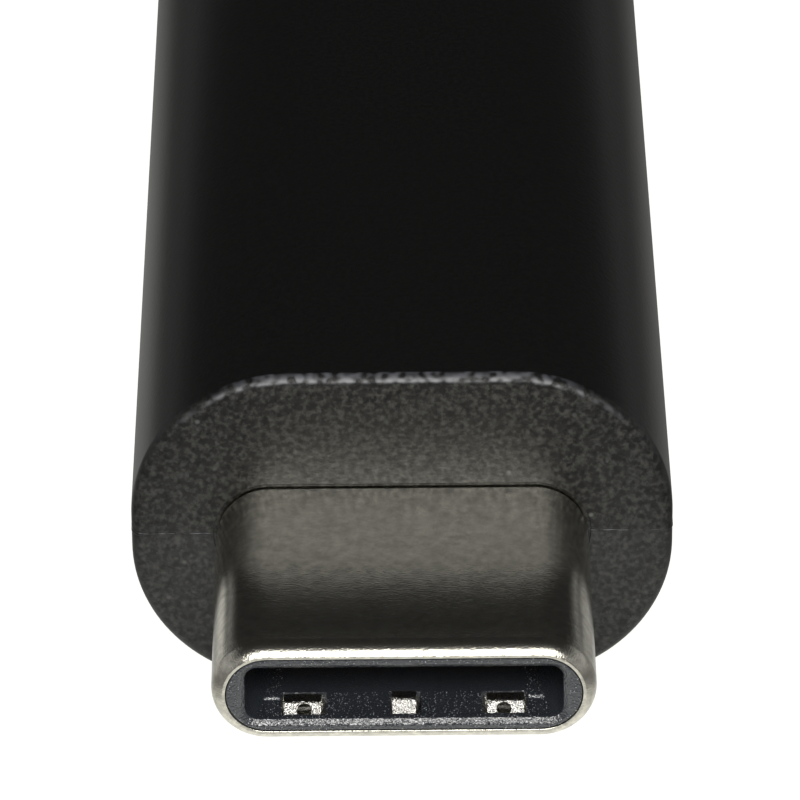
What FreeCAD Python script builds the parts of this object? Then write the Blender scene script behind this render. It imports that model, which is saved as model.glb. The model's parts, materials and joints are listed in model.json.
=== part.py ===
"""Plug end of a 24-position reversible cable, with its moulded housing and everything sealed inside.

The plug's mating end faces -Y and the cable outlet faces +Y. X runs across the plug and Z is up. The
housing rests on Z = 0 and the origin is under the middle of the plug's length. Inside the plug, a place
along its length is given as a depth behind the tip of the shell. All sizes are in millimetres.
"""

import FreeCAD, Part
import math
import os

# Contacts
contact_pitch = 0.50
contacts_per_row = 12
lower_positions_left_out = (6, 7)
contact_width = 0.26
contact_thickness = 0.12
contact_tip_depth = 2.75
contact_crest_depth = 3.35
contact_spring_root = 4.60
contact_crest_height = 0.30
contact_bend_radius = 0.30
contact_tail_length = 1.70

# Circuit card, whose thickness sets how far apart the two rows of contacts lie
card_thickness = 0.80
card_length = 10.00
card_tongue_margin = 0.07
card_tongue_length = 1.60
card_shoulder_step = 0.65
card_gap = 0.20
pad_thickness = 0.035
pad_width = 0.30
pad_length = 1.50
pad_inset = 0.10
wire_pad_width = 0.75
wire_pad_length = 1.60
wire_pad_count = 6
wire_pad_inset = 0.30
wire_pad_margin = 0.475

# Front insulator, the sleeve that lines the plug's mouth
cavity_side_room = 0.52
cavity_head_room = 0.085
cavity_corner = 0.28
cavity_depth = 5.30
lead_in_height = 0.13
lead_in_depth = 0.09
insulator_side_wall = 0.405
insulator_roof_wall = 0.24
insulator_clearance = 0.02
insulator_recess = 0.01
comb_rib_width = 0.16
comb_rib_height = 0.19
comb_rib_length = 2.30
comb_rib_end_gap = 0.05
mark_edge_margin = 0.56
mark_width = 0.36
mark_front = 0.32
mark_length = 0.66
mark_depth = 0.07
mark_ramp = 0.05
mark_pip_radius = 0.13
mark_pip_tip = 0.03
mark_pip_height = 0.06
mark_pip_lean = 0.06

# Plug shell, a seamless drawn tube round the insulator: 8.25 by 2.40 outside
shell_wall = 0.30
shell_lip_radius = 0.37
shell_lip_drop = 0.215
shell_exposed = 6.65
shell_buried = 3.00

# Earthing springs in the roof and floor of the mouth
spring_thickness = 0.08
spring_side_margin = 0.05
spring_frame_front = 0.14
spring_front_strip = 0.17
spring_rear_strip = 0.40
spring_seat_clearance = 0.03
finger_edge_margin = 0.695
wide_finger_width = 0.80
narrow_finger_width = 0.51
finger_slit = 0.035
finger_root_run = 0.08
finger_end_gap = 0.12
wide_finger_rise = 0.27
wide_finger_crest = 0.62
narrow_finger_rise = 0.32
narrow_finger_crest = 0.65
finger_fall = 0.07
finger_tip_depth = 1.00
finger_bend_radius = 0.10
finger_hole_radius = 0.155
finger_hole_offset = 0.04
window_lead = 0.04
window_tail = 0.125
window_outer_gap = 0.045
window_inner_gap = 0.12
window_narrow_gap = 0.065
window_narrow_shift = 0.035

# Contact carriers, moulded round the contacts
carrier_clearance = 0.04
carrier_flange_length = 0.60
carrier_flange_clearance = 0.02
carrier_setback = 1.05

# Latch plate between the two carriers
latch_thickness = 0.25
latch_front = 5.50
latch_arm_width = 0.24
latch_arm_root = 6.20
latch_hook_front = 2.15
latch_hook_length = 1.00
latch_hook_ramp = 0.40
latch_hook_reach = 0.40
latch_slot_clearance = 0.04
latch_leg_width = 0.40

# Components on the card
chip_width = 2.40
chip_length = 2.40
chip_height = 0.60
chip_mark_radius = 0.14
chip_mark_inset = 0.40
chip_mark_depth = 0.05
passive_length = 1.00
passive_width = 0.50
passive_height = 0.45
passive_cap_length = 0.22
passive_cap_skin = 0.02
passive_edge_margin = 0.90
passive_pitch = 1.50

# Shield can, in two halves
can_wall = 0.20
can_overlap = 1.20
can_side_step = 0.375
can_top_step = 0.90
can_corner = 0.90
can_step_gap = 0.20
can_wire_room = 2.25
can_tail_bore = 3.60
can_tail_length = 2.60

# Crimp ring round the tail of the can
ring_wall = 0.25
ring_length = 2.00
ring_inset = 0.30

# Inner mould that seals the can
inner_side_cover = 0.60
inner_top_cover = 0.90
inner_rear_wall = 1.50

# Moulded housing: 12.0 by 8.0 outside
housing_side_wall = 0.90
housing_top_wall = 1.00
housing_front_wall = 0.80
housing_length = 30.00
housing_side_flat = 0.80
housing_front_edge = 0.25
shell_groove_width = 0.06
shell_groove_depth = 0.30
housing_rear_edge = 0.80

# Cable outlet at the back of the housing
jacket_bore = 5.00
bore_mouth_chamfer = 0.30

# Levels and widths, worked out from the contacts outwards
tail_level = card_thickness / 2 + pad_thickness + contact_thickness / 2
row_width = (contacts_per_row - 1) * contact_pitch + contact_width
cavity_width = row_width + 2 * cavity_side_room
cavity_height = 2 * tail_level + contact_thickness + 2 * cavity_head_room
insulator_width = cavity_width + 2 * insulator_side_wall
insulator_height = cavity_height + 2 * insulator_roof_wall
shell_bore_width = insulator_width + 2 * insulator_clearance
shell_bore_height = insulator_height + 2 * insulator_clearance
shell_width = shell_bore_width + 2 * shell_wall
shell_height = shell_bore_height + 2 * shell_wall
can_width = shell_width + 2 * can_side_step
can_height = shell_height + 2 * can_top_step
inner_width = can_width + 2 * inner_side_cover
inner_height = can_height + 2 * inner_top_cover
housing_width = inner_width + 2 * housing_side_wall
housing_height = inner_height + 2 * housing_top_wall
housing_corner = (housing_height - housing_side_flat) / 2
inner_corner = housing_corner - housing_side_wall
card_tongue_width = row_width + 2 * card_tongue_margin
card_width = card_tongue_width + 2 * card_shoulder_step
spring_frame_width = insulator_width - insulator_height - 2 * spring_side_margin

# Depths behind the tip of the shell
shell_rear = shell_exposed + shell_buried
carrier_rear = shell_rear - carrier_setback
insulator_rear = carrier_rear - carrier_flange_length
card_front = carrier_rear + card_gap
card_shoulder = card_front + card_tongue_length
card_rear = card_front + card_length
tail_end = card_front + contact_tail_length
pad_rear = card_front + pad_inset + pad_length
wire_pad_rear = card_rear - wire_pad_inset
wire_pad_front = wire_pad_rear - wire_pad_length
component_middle = (pad_rear + wire_pad_front) / 2
spring_opening_front = spring_frame_front + spring_front_strip
spring_opening_rear = finger_tip_depth + finger_end_gap
spring_frame_rear = spring_opening_rear + spring_rear_strip
can_front = shell_rear - can_overlap
can_body_front = shell_rear + can_step_gap
can_body_rear = card_rear + can_wire_room
can_tail_rear = can_body_rear + can_tail_length
ring_rear = can_tail_rear - ring_inset
ring_front = ring_rear - ring_length
inner_front = shell_exposed + housing_front_wall
inner_rear = can_tail_rear + inner_rear_wall
housing_rear = shell_exposed + housing_length

# Where the tip of the shell and the plug's axis lie
tip_y = -housing_rear / 2
axis_z = housing_height / 2


def place(x, depth, level):
    """Return the point at x across, a depth behind the tip and a level above the plug's axis."""
    return FreeCAD.Vector(x, tip_y + depth, axis_z + level)


def block(x_low, x_high, front, rear, low, high):
    """Return a rectangular solid between two depths and two levels."""
    return Part.makeBox(x_high - x_low, rear - front, high - low, place(x_low, front, low))


def rounded_outline(width, height, corner, depth):
    """Return the wire of a rectangle with round corners that faces along Y."""
    flat_x = width / 2 - corner
    flat_z = height / 2 - corner
    lean = corner * math.sqrt(0.5)
    arcs = []
    for side_x, side_z in ((1, 1), (1, -1), (-1, -1), (-1, 1)):
        level = place(side_x * flat_x, depth, side_z * (flat_z + corner))
        middle = place(side_x * (flat_x + lean), depth, side_z * (flat_z + lean))
        upright = place(side_x * (flat_x + corner), depth, side_z * flat_z)
        arcs.append((level, middle, upright) if side_x == side_z else (upright, middle, level))
    edges = []
    for arc, following in zip(arcs, arcs[1:] + arcs[:1]):
        edges.append(Part.Arc(*arc).toShape())
        edges.append(Part.makeLine(arc[2], following[0]))
    return Part.Wire(edges)


def rounded_bar(width, height, corner, front, rear):
    """Return a bar with round corners that runs from one depth to another."""
    face = Part.Face(rounded_outline(width, height, corner, front))
    return face.extrude(FreeCAD.Vector(0, rear - front, 0))


def stadium_bar(width, height, front, rear):
    """Return a bar whose section has fully round sides."""
    radius = height / 2
    flat = width / 2 - radius
    outline = Part.Wire([
        Part.makeLine(place(-flat, front, radius), place(flat, front, radius)),
        Part.Arc(place(flat, front, radius), place(flat + radius, front, 0),
                 place(flat, front, -radius)).toShape(),
        Part.makeLine(place(flat, front, -radius), place(-flat, front, -radius)),
        Part.Arc(place(-flat, front, -radius), place(-flat - radius, front, 0),
                 place(-flat, front, radius)).toShape(),
    ])
    return Part.Face(outline).extrude(FreeCAD.Vector(0, rear - front, 0))


def rod(radius, front, rear):
    """Return a cylinder on the plug's axis between two depths."""
    return Part.makeCylinder(radius, rear - front, place(0, front, 0), FreeCAD.Vector(0, 1, 0))


def edges_at(solid, depth):
    """Return the edges of a solid that lie in the plane at a depth."""
    level = tip_y + depth
    return [edge for edge in solid.Edges
            if abs(edge.BoundBox.YMin - level) < 1e-6 and abs(edge.BoundBox.YMax - level) < 1e-6]


def turned_over(shape):
    """Return the shape turned half a turn about the plug's axis."""
    copy = shape.copy()
    copy.rotate(place(0, 0, 0), FreeCAD.Vector(0, 1, 0), 180)
    return copy


def across(direction):
    """Return the direction turned a quarter turn in the plane across X."""
    return FreeCAD.Vector(0, -direction.z, direction.y)


def bent_strip(points, bend_radius, thickness, x_middle, width):
    """Return a strip of sheet that follows (depth, level) points and bends on arcs.

    The points are the middle of the sheet. Each inner point becomes an arc of the bend radius.
    """
    path = [FreeCAD.Vector(0, depth, level) for depth, level in points]
    half = thickness / 2
    runs = [(end - start).normalize() for start, end in zip(path, path[1:])]
    sides = {side: [path[0] + across(runs[0]) * (half * side)] for side in (1, -1)}
    edges = {1: [], -1: []}
    for corner, before, after in zip(path[1:-1], runs, runs[1:]):
        turn = before.y * after.z - before.z * after.y
        hand = 1 if turn > 0 else -1
        angle = math.acos(max(-1.0, min(1.0, before.dot(after))))
        setback = bend_radius * math.tan(angle / 2)
        start = corner - before * setback
        end = corner + after * setback
        centre = start + across(before) * (bend_radius * hand)
        for side in (1, -1):
            radius = bend_radius - hand * side * half
            first = centre + (start - centre).normalize() * radius
            last = centre + (end - centre).normalize() * radius
            middle = centre + ((start - centre) + (end - centre)).normalize() * radius
            edges[side].append(Part.makeLine(sides[side][-1], first))
            edges[side].append(Part.Arc(first, middle, last).toShape())
            sides[side].append(last)
    for side in (1, -1):
        last = path[-1] + across(runs[-1]) * (half * side)
        edges[side].append(Part.makeLine(sides[side][-1], last))
        sides[side].append(last)
    ends = [Part.makeLine(sides[1][end], sides[-1][end]) for end in (0, -1)]
    outline = Part.Wire(Part.__sortEdges__(edges[1] + edges[-1] + ends))
    strip = Part.Face(outline).extrude(FreeCAD.Vector(width, 0, 0))
    strip.translate(place(x_middle - width / 2, 0, 0))
    return strip


def contact_place(position):
    """Return how far across the plug a contact position lies, counted from 1."""
    return (position - (contacts_per_row + 1) / 2) * contact_pitch


def make_plug_shell():
    """Return the drawn shell, whose lip curves in to a narrow flat rim."""
    rise = shell_lip_radius - shell_lip_drop
    overrun = shell_lip_radius - math.sqrt(shell_lip_radius ** 2 - rise ** 2)
    solid = stadium_bar(shell_width, shell_height, -overrun, shell_rear)
    solid = solid.makeFillet(shell_lip_radius, edges_at(solid, -overrun))
    reach = shell_width
    return solid.cut([
        block(-reach, reach, -reach, 0, -reach, reach),
        stadium_bar(shell_bore_width, shell_bore_height, 0, shell_rear),
    ])


def make_contact(position):
    """Return one stamped contact of the upper row, from its tip to its soldered tail."""
    crest = contact_crest_height + contact_thickness / 2
    points = (
        (contact_tip_depth, tail_level),
        (contact_crest_depth, crest),
        (contact_spring_root, tail_level),
        (tail_end, tail_level),
    )
    return bent_strip(points, contact_bend_radius, contact_thickness, contact_place(position),
                      contact_width)


def finger_places():
    """Return the place and width of each earthing finger, from one side of the mouth to the other."""
    wide_place = spring_frame_width / 2 - finger_edge_margin
    return ((-wide_place, wide_finger_width), (0.0, narrow_finger_width), (wide_place, wide_finger_width))


def window_sides():
    """Return how far across the plug the two sides of each finger window lie."""
    (left, wide), (_, narrow), (right, _) = finger_places()
    narrow_half = narrow / 2 + window_narrow_gap
    narrow_middle = -window_narrow_shift
    inner = wide / 2 + window_inner_gap
    outer = wide / 2 + window_outer_gap
    return ((left - outer, left + inner), (narrow_middle - narrow_half, narrow_middle + narrow_half),
            (right - inner, right + outer))


def spring_level():
    """Return the level of the middle of an earthing spring's flat frame."""
    return insulator_height / 2 - spring_thickness / 2


def make_finger(x_middle, width):
    """Return one bent finger of the upper earthing spring. The wide ones have a hole in their slope."""
    wide = width == wide_finger_width
    crest_depth = wide_finger_crest if wide else narrow_finger_crest
    crest_level = spring_level() - (wide_finger_rise if wide else narrow_finger_rise)
    root_depth = spring_opening_front + finger_root_run
    points = (
        (spring_opening_front, spring_level()),
        (root_depth, spring_level()),
        (crest_depth, crest_level),
        (finger_tip_depth, crest_level + finger_fall),
    )
    finger = bent_strip(points, finger_bend_radius, spring_thickness, x_middle, width)
    if not wide:
        return finger
    slope = FreeCAD.Vector(0, crest_depth - root_depth, crest_level - spring_level())
    through = across(slope).normalize() * (2 * spring_thickness)
    middle = place(x_middle - math.copysign(finger_hole_offset, x_middle), (root_depth + crest_depth) / 2,
                   (spring_level() + crest_level) / 2)
    return finger.cut(Part.makeCylinder(finger_hole_radius, through.Length, middle - through / 2, through))


def make_earth_spring():
    """Return the upper earthing spring, a flat frame with three fingers bent into the mouth."""
    low = spring_level() - spring_thickness / 2
    high = spring_level() + spring_thickness / 2
    half = spring_frame_width / 2
    spring = block(-half, half, spring_frame_front, spring_frame_rear, low, high)
    for x_middle, width in finger_places():
        opening = width / 2 + finger_slit
        spring = spring.cut(block(x_middle - opening, x_middle + opening, spring_opening_front,
                                  spring_opening_rear, low, high))
    for x_middle, width in finger_places():
        spring = spring.fuse(make_finger(x_middle, width))
    return spring.removeSplitter()


def moulded_mark(side):
    """Return the tool for the shallow mark on one side of the mouth's roof, cut round a leaning pip."""
    x_middle = side * (cavity_width / 2 - mark_edge_margin)
    roof = cavity_height / 2
    bottom = roof + mark_depth
    rear = mark_front + mark_length
    profile = ((mark_front, 0), (mark_front, bottom), (rear - mark_ramp, bottom), (rear, roof), (rear, 0))
    corners = [place(x_middle - mark_width / 2, depth, level) for depth, level in profile]
    outline = Part.makePolygon(corners + corners[:1])
    recess = Part.Face(outline).extrude(FreeCAD.Vector(mark_width, 0, 0))
    pip_depth = (mark_front + rear) / 2
    rings = ((mark_pip_radius, place(x_middle, pip_depth, bottom)),
             (mark_pip_tip, place(x_middle + side * mark_pip_lean, pip_depth + mark_pip_lean,
                                  bottom - mark_pip_height)))
    upwards = FreeCAD.Vector(0, 0, 1)
    circles = [Part.Wire(Part.makeCircle(radius, centre, upwards)) for radius, centre in rings]
    return recess.cut(Part.makeLoft(circles, True, True))


def make_front_insulator():
    """Return the sleeve with its lead-in, finger windows, comb ribs and latch slots."""
    front = insulator_recess
    rear = insulator_rear
    solid = stadium_bar(insulator_width, insulator_height, front, rear)
    cavity = rounded_bar(cavity_width, cavity_height, cavity_corner, front, rear)
    lead_in = Part.makeLoft([
        rounded_outline(cavity_width + 2 * lead_in_height, cavity_height + 2 * lead_in_height,
                        cavity_corner + lead_in_height, front),
        rounded_outline(cavity_width, cavity_height, cavity_corner, front + lead_in_depth),
    ], True, True)
    solid = solid.cut(cavity.fuse(lead_in))
    tools = []
    seat_half = spring_frame_width / 2 + spring_seat_clearance
    seat_front = spring_frame_front - spring_seat_clearance
    seat_rear = spring_frame_rear + spring_seat_clearance
    seat_floor = insulator_height / 2 - spring_thickness
    seat = block(-seat_half, seat_half, seat_front, seat_rear, seat_floor, insulator_height / 2)
    windows = [block(left, right, spring_opening_front - window_lead, finger_tip_depth + window_tail, 0,
                     insulator_height / 2)
               for left, right in window_sides()]
    marks = [moulded_mark(side) for side in (-1, 1)]
    for tool in [seat] + windows + marks:
        tools.append(tool)
        tools.append(turned_over(tool))
    slot_half = latch_thickness / 2 + latch_slot_clearance
    slot_front = latch_hook_front - latch_slot_clearance
    tools.append(block(-insulator_width, insulator_width, slot_front, rear, -slot_half, slot_half))
    solid = solid.cut(tools)
    rib_rear = cavity_depth - comb_rib_end_gap
    ribs = []
    for gap in range(1, contacts_per_row):
        middle = contact_place(gap) + contact_pitch / 2
        rib = block(middle - comb_rib_width / 2, middle + comb_rib_width / 2, rib_rear - comb_rib_length,
                    rib_rear, cavity_height / 2 - comb_rib_height, cavity_height / 2)
        ribs.append(rib)
        ribs.append(turned_over(rib))
    return solid.fuse(ribs)


def make_latch_plate():
    """Return the flat plate whose two side arms end in the hooks that hold the plug."""
    arm_inner = cavity_width / 2
    arm_outer = arm_inner + latch_arm_width
    body_half = arm_inner - 2 * latch_arm_width
    hook_tip = arm_inner - latch_hook_reach
    hook_rear = latch_hook_front + latch_hook_length
    leg_inner = card_tongue_width / 2
    leg_end = card_shoulder - card_gap
    right = (
        (body_half, latch_front),
        (body_half, latch_arm_root),
        (arm_inner, latch_arm_root),
        (arm_inner, hook_rear),
        (hook_tip, hook_rear - latch_hook_ramp),
        (hook_tip, latch_hook_front + latch_hook_ramp),
        (arm_inner, latch_hook_front),
        (arm_outer, latch_hook_front + latch_arm_width / 2),
        (arm_outer, carrier_rear),
        (leg_inner + latch_leg_width, carrier_rear),
        (leg_inner + latch_leg_width, leg_end),
        (leg_inner, leg_end),
        (leg_inner, carrier_rear),
    )
    left = tuple((-x, depth) for x, depth in reversed(right))
    level = -latch_thickness / 2
    corners = [place(x, depth, level) for x, depth in right + left]
    outline = Part.makePolygon(corners + corners[:1])
    return Part.Face(outline).extrude(FreeCAD.Vector(0, 0, latch_thickness))


def make_contact_carrier(contacts):
    """Return the upper carrier, moulded round its row of contacts."""
    low = latch_thickness / 2
    half = cavity_width / 2 - carrier_clearance
    high = cavity_height / 2 - carrier_clearance
    body = rounded_bar(2 * half, 2 * high, cavity_corner - carrier_clearance, cavity_depth, insulator_rear)
    body = body.cut(block(-half, half, cavity_depth, insulator_rear, -high, low))
    flange = stadium_bar(shell_bore_width - 2 * carrier_flange_clearance,
                         shell_bore_height - 2 * carrier_flange_clearance, insulator_rear, carrier_rear)
    flange = flange.cut(block(-shell_width, shell_width, insulator_rear, carrier_rear, -shell_height, low))
    return body.fuse(flange).removeSplitter().cut(contacts)


def make_card():
    """Return the circuit card with its narrow tongue between the contact tails."""
    half = card_width / 2
    tongue = card_tongue_width / 2
    level = card_thickness / 2
    card = block(-tongue, tongue, card_front, card_shoulder, -level, level)
    return card.fuse(block(-half, half, card_shoulder, card_rear, -level, level)).removeSplitter()


def make_card_pads():
    """Return the plated pads, one solid for each contact tail and each wire."""
    low = card_thickness / 2
    high = low + pad_thickness
    pads = []
    for position in range(1, contacts_per_row + 1):
        middle = contact_place(position)
        pad = block(middle - pad_width / 2, middle + pad_width / 2, pad_rear - pad_length, pad_rear, low,
                    high)
        pads.append(pad)
        if position not in lower_positions_left_out:
            pads.append(turned_over(pad))
    outer_pad = card_width / 2 - wire_pad_margin - wire_pad_width / 2
    for number in range(wire_pad_count):
        middle = outer_pad * (2 * number / (wire_pad_count - 1) - 1)
        pad = block(middle - wire_pad_width / 2, middle + wire_pad_width / 2, wire_pad_front, wire_pad_rear,
                    low, high)
        pads.append(pad)
        pads.append(turned_over(pad))
    return Part.makeCompound(pads)


def make_marker_chip():
    """Return the marker chip with the dimple that shows its first corner."""
    low = card_thickness / 2
    front = component_middle - chip_length / 2
    body = block(-chip_width / 2, chip_width / 2, front, front + chip_length, low, low + chip_height)
    dimple = Part.makeCylinder(chip_mark_radius, chip_mark_depth,
                               place(chip_mark_inset - chip_width / 2, front + chip_mark_inset,
                                     low + chip_height - chip_mark_depth))
    return body.cut(dimple)


def make_passive(side, row, below):
    """Return a chip resistor or capacitor with its two end caps.

    The side is -1 or 1 across the card, and the row is -1 or 1 along it.
    """
    x_middle = side * (card_width / 2 - passive_edge_margin)
    low = card_thickness / 2
    front = component_middle - passive_length / 2 + row * passive_pitch / 2
    rear = front + passive_length
    half = passive_width / 2
    body = block(x_middle - half + passive_cap_skin, x_middle + half - passive_cap_skin, front, rear,
                 low + passive_cap_skin, low + passive_height - passive_cap_skin)
    for cap_front in (front, rear - passive_cap_length):
        cap = block(x_middle - half, x_middle + half, cap_front, cap_front + passive_cap_length, low,
                    low + passive_height)
        body = body.fuse(cap)
    body = body.removeSplitter()
    return turned_over(body) if below else body


def can_form(skin):
    """Return the solid form of the shield can, grown outwards by a skin."""
    collar = stadium_bar(shell_width + 2 * skin, shell_height + 2 * skin, can_front, can_body_front)
    body = rounded_bar(can_width + 2 * (skin - can_wall), can_height + 2 * (skin - can_wall),
                       can_corner + skin - can_wall, can_body_front - skin, can_body_rear + skin)
    tail = rod(can_tail_bore / 2 + skin, can_body_rear, can_tail_rear)
    return collar.fuse([body, tail])


def make_shield_can_upper():
    """Return the upper half of the shield can."""
    can = can_form(can_wall).cut(can_form(0))
    reach = housing_width
    return can.common(block(-reach, reach, can_front, can_tail_rear, 0, reach))


def make_crimp_ring():
    """Return the ring that is crimped round the can's tail."""
    bore = can_tail_bore / 2 + can_wall
    return rod(bore + ring_wall, ring_front, ring_rear).cut(rod(bore, ring_front, ring_rear))


def inner_form():
    """Return the outer form of the inner mould."""
    return rounded_bar(inner_width, inner_height, inner_corner, inner_front, inner_rear)


def make_inner_mould():
    """Return the inner mould, which fills the space round the shell, the can and the ring."""
    return inner_form().cut([
        stadium_bar(shell_width, shell_height, inner_front, can_front),
        can_form(can_wall),
        rod(can_tail_bore / 2 + can_wall + ring_wall, ring_front, ring_rear),
        rod(jacket_bore / 2, can_tail_rear, inner_rear),
    ])


def make_housing():
    """Return the outer housing, moulded over the inner mould and the root of the shell.

    A fine groove runs round the shell where it comes out of the housing's face.
    """
    solid = rounded_bar(housing_width, housing_height, housing_corner, shell_exposed, housing_rear)
    solid = solid.makeFillet(housing_front_edge, edges_at(solid, shell_exposed))
    solid = solid.makeFillet(housing_rear_edge, edges_at(solid, housing_rear))
    mouth_radius = jacket_bore / 2
    mouth = Part.makeCone(mouth_radius, mouth_radius + bore_mouth_chamfer, bore_mouth_chamfer,
                          place(0, housing_rear - bore_mouth_chamfer, 0), FreeCAD.Vector(0, 1, 0))
    groove_rear = shell_exposed + shell_groove_depth
    return solid.cut([
        stadium_bar(shell_width, shell_height, shell_exposed, inner_front),
        stadium_bar(shell_width + 2 * shell_groove_width, shell_height + 2 * shell_groove_width,
                    shell_exposed, groove_rear),
        inner_form(),
        rod(mouth_radius, inner_rear, housing_rear),
        mouth,
    ])


def make_parts():
    """Return every piece of the plug as (node name, shape) pairs."""
    parts = []
    upper = {position: make_contact(position) for position in range(1, contacts_per_row + 1)}
    lower = {position: turned_over(contact) for position, contact in upper.items()
             if position not in lower_positions_left_out}
    parts.append(("outer_housing", make_housing()))
    parts.append(("inner_mould", make_inner_mould()))
    parts.append(("plug_shell", make_plug_shell()))
    parts.append(("front_insulator", make_front_insulator()))
    spring = make_earth_spring()
    parts.append(("earth_spring_upper", spring))
    parts.append(("earth_spring_lower", turned_over(spring)))
    parts.append(("latch_plate", make_latch_plate()))
    parts.append(("contact_carrier_upper", make_contact_carrier(list(upper.values()))))
    lower_carrier = make_contact_carrier([turned_over(contact) for contact in lower.values()])
    parts.append(("contact_carrier_lower", turned_over(lower_carrier)))
    for position, contact in upper.items():
        parts.append((f"contact_upper_{position:02d}", contact))
    for position, contact in lower.items():
        parts.append((f"contact_lower_{position:02d}", contact))
    parts.append(("circuit_card", make_card()))
    parts.append(("card_pads", make_card_pads()))
    parts.append(("marker_chip", make_marker_chip()))
    parts.append(("marker_resistor", make_passive(-1, -1, False)))
    parts.append(("supply_capacitor", make_passive(1, -1, False)))
    parts.append(("bus_capacitor_left", make_passive(-1, 1, True)))
    parts.append(("bus_capacitor_right", make_passive(1, 1, True)))
    can = make_shield_can_upper()
    parts.append(("shield_can_upper", can))
    parts.append(("shield_can_lower", turned_over(can)))
    parts.append(("crimp_ring", make_crimp_ring()))
    return parts


os.makedirs("parts", exist_ok=True)
for node, shape in make_parts():
    shape.exportStep(f"parts/{node}.step")
    print(f"{node:24s} solids {len(shape.Solids)}  volume {shape.Volume:9.4f}  valid {shape.isValid()}")
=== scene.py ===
"""Looks of a reversible cable plug: its housing, shell, mouth, contacts and studio.

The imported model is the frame: X runs across the plug, Y from the mating end to the cable outlet and
Z up. Lengths in this file are millimetres, and a place along the plug is a depth behind the shell's
tip. They become metres where a mesh, a lamp or a shader takes them.
"""

import json
import logging
import math
from dataclasses import dataclass, field
from enum import Enum

import bmesh
import bpy
from bmesh.types import BMesh
from bpy.types import Material, Mesh, Node, NodeSocket, NodeTree, Object
from mathutils import Matrix, Vector

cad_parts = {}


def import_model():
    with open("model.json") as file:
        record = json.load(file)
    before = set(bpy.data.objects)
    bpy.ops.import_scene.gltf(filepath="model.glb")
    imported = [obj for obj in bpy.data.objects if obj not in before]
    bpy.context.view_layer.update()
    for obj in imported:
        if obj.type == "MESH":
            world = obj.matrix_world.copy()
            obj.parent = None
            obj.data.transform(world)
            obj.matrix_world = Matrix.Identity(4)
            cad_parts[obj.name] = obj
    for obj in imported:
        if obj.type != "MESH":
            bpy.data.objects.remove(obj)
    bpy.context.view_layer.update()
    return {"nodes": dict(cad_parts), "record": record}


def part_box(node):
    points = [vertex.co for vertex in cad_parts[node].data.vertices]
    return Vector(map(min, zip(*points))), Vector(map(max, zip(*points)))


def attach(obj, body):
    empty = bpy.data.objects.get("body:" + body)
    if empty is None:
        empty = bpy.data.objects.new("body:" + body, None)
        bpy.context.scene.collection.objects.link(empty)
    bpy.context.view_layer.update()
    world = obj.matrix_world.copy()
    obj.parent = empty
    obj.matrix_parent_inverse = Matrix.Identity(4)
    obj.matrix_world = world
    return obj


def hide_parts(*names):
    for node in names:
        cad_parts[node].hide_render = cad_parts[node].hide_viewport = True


LOG = logging.getLogger("plug")
MM = 0.001
METRE = 1000.0
BODY = "root"
QUARTER_STEPS = 48
SKIN_CREASE = math.radians(18)
NODE_CREASE = math.radians(32)
FLAT_ANGLE = math.radians(0.4)
SKIN_MERGE = 0.00001
NODE_MERGE = 0.0002
UNIT = (0.0, 1.0)
FALLING = (1.0, 0.0)

Range = tuple[float, float]
Triple = tuple[float, float, float]


class Slot(Enum):
    """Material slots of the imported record."""

    HOUSING = "housing_plastic"
    INNER = "inner_plastic"
    SHELL = "shell_metal"
    INSULATOR = "insulator_plastic"
    SPRING = "spring_metal"
    LATCH = "latch_metal"
    CONTACT = "contact_gold"
    CARD = "card_laminate"
    CHIP = "chip_plastic"
    PASSIVE = "passive_ceramic"
    CAN = "can_metal"
    RING = "ring_metal"


@dataclass(frozen=True)
class PlugFrame:
    """Places of the plug's main faces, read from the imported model.

    Attributes:
        tip: Y of the shell's tip, in millimetres.
        axis: Z of the plug's axis, in millimetres.
    """

    tip: float
    axis: float

    @classmethod
    def read(cls) -> "PlugFrame":
        """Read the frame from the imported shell."""
        low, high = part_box("plug_shell")
        return cls(tip=low[1] / MM, axis=(low[2] + high[2]) / 2 / MM)

    def at(self, x: float, depth: float, level: float) -> Vector:
        """Place a point.

        Args:
            x: Distance across the plug from its axis.
            depth: Depth behind the shell's tip.
            level: Height above the plug's axis.

        Returns:
            The point in metres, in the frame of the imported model.
        """
        return Vector((x, self.tip + depth, self.axis + level)) * MM

    def span(self, node: str) -> tuple[float, float, float, float]:
        """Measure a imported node.

        Args:
            node: Name of the node.

        Returns:
            Its width, height, front depth and rear depth in millimetres.
        """
        low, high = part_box(node)
        size = ((high[0] - low[0]) / MM, (high[2] - low[2]) / MM)
        return (*size, low[1] / MM - self.tip, high[1] / MM - self.tip)


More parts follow.
